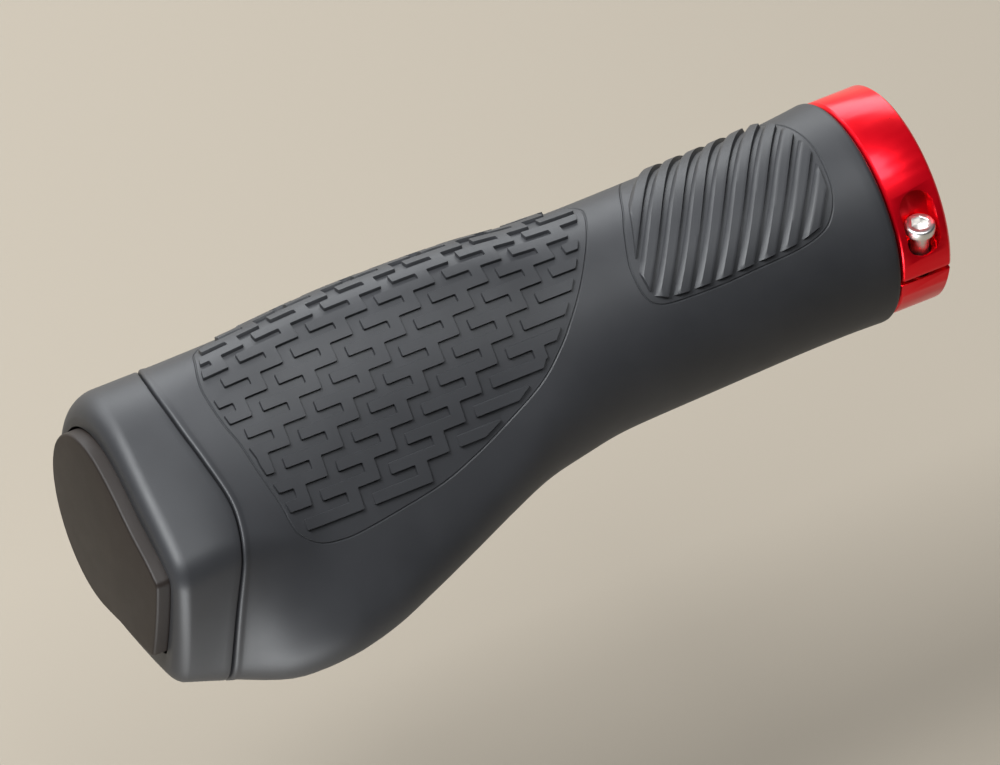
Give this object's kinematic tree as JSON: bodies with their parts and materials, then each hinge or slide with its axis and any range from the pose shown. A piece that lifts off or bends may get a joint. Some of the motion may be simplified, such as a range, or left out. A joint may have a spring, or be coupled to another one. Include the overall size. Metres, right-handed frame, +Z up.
{
  "type": "handlebar grip",
  "caption": "Lock-on handlebar grip for the left end of a bicycle bar: palm wing, raised brick and rib pads, end plug and inboard clamp ring.",
  "frame": {"origin": "on the bar's axis, at the inboard face of the clamp ring", "axes": "+X along the bar towards the stem, +Y away from the rider, +Z up; the palm wing is on the -Y side and the end plug at -X"},
  "size_m": [0.14, 0.0525, 0.0414],
  "materials": {
    "sleeve": "moulded, plain",
    "rubber": "soft satin",
    "shell": "soft satin, a little smoother than the body",
    "plug": "matte, fine grain",
    "ring": "red anodised, satin gloss",
    "bolt": "bright, turned"
  },
  "bodies": {
    "root": {"core_sleeve": "sleeve", "grip_rubber": "rubber", "end_shell": "shell", "end_plug": "plug", "clamp_ring": "ring", "clamp_bolt": "bolt"}
  },
  "joints": []
}
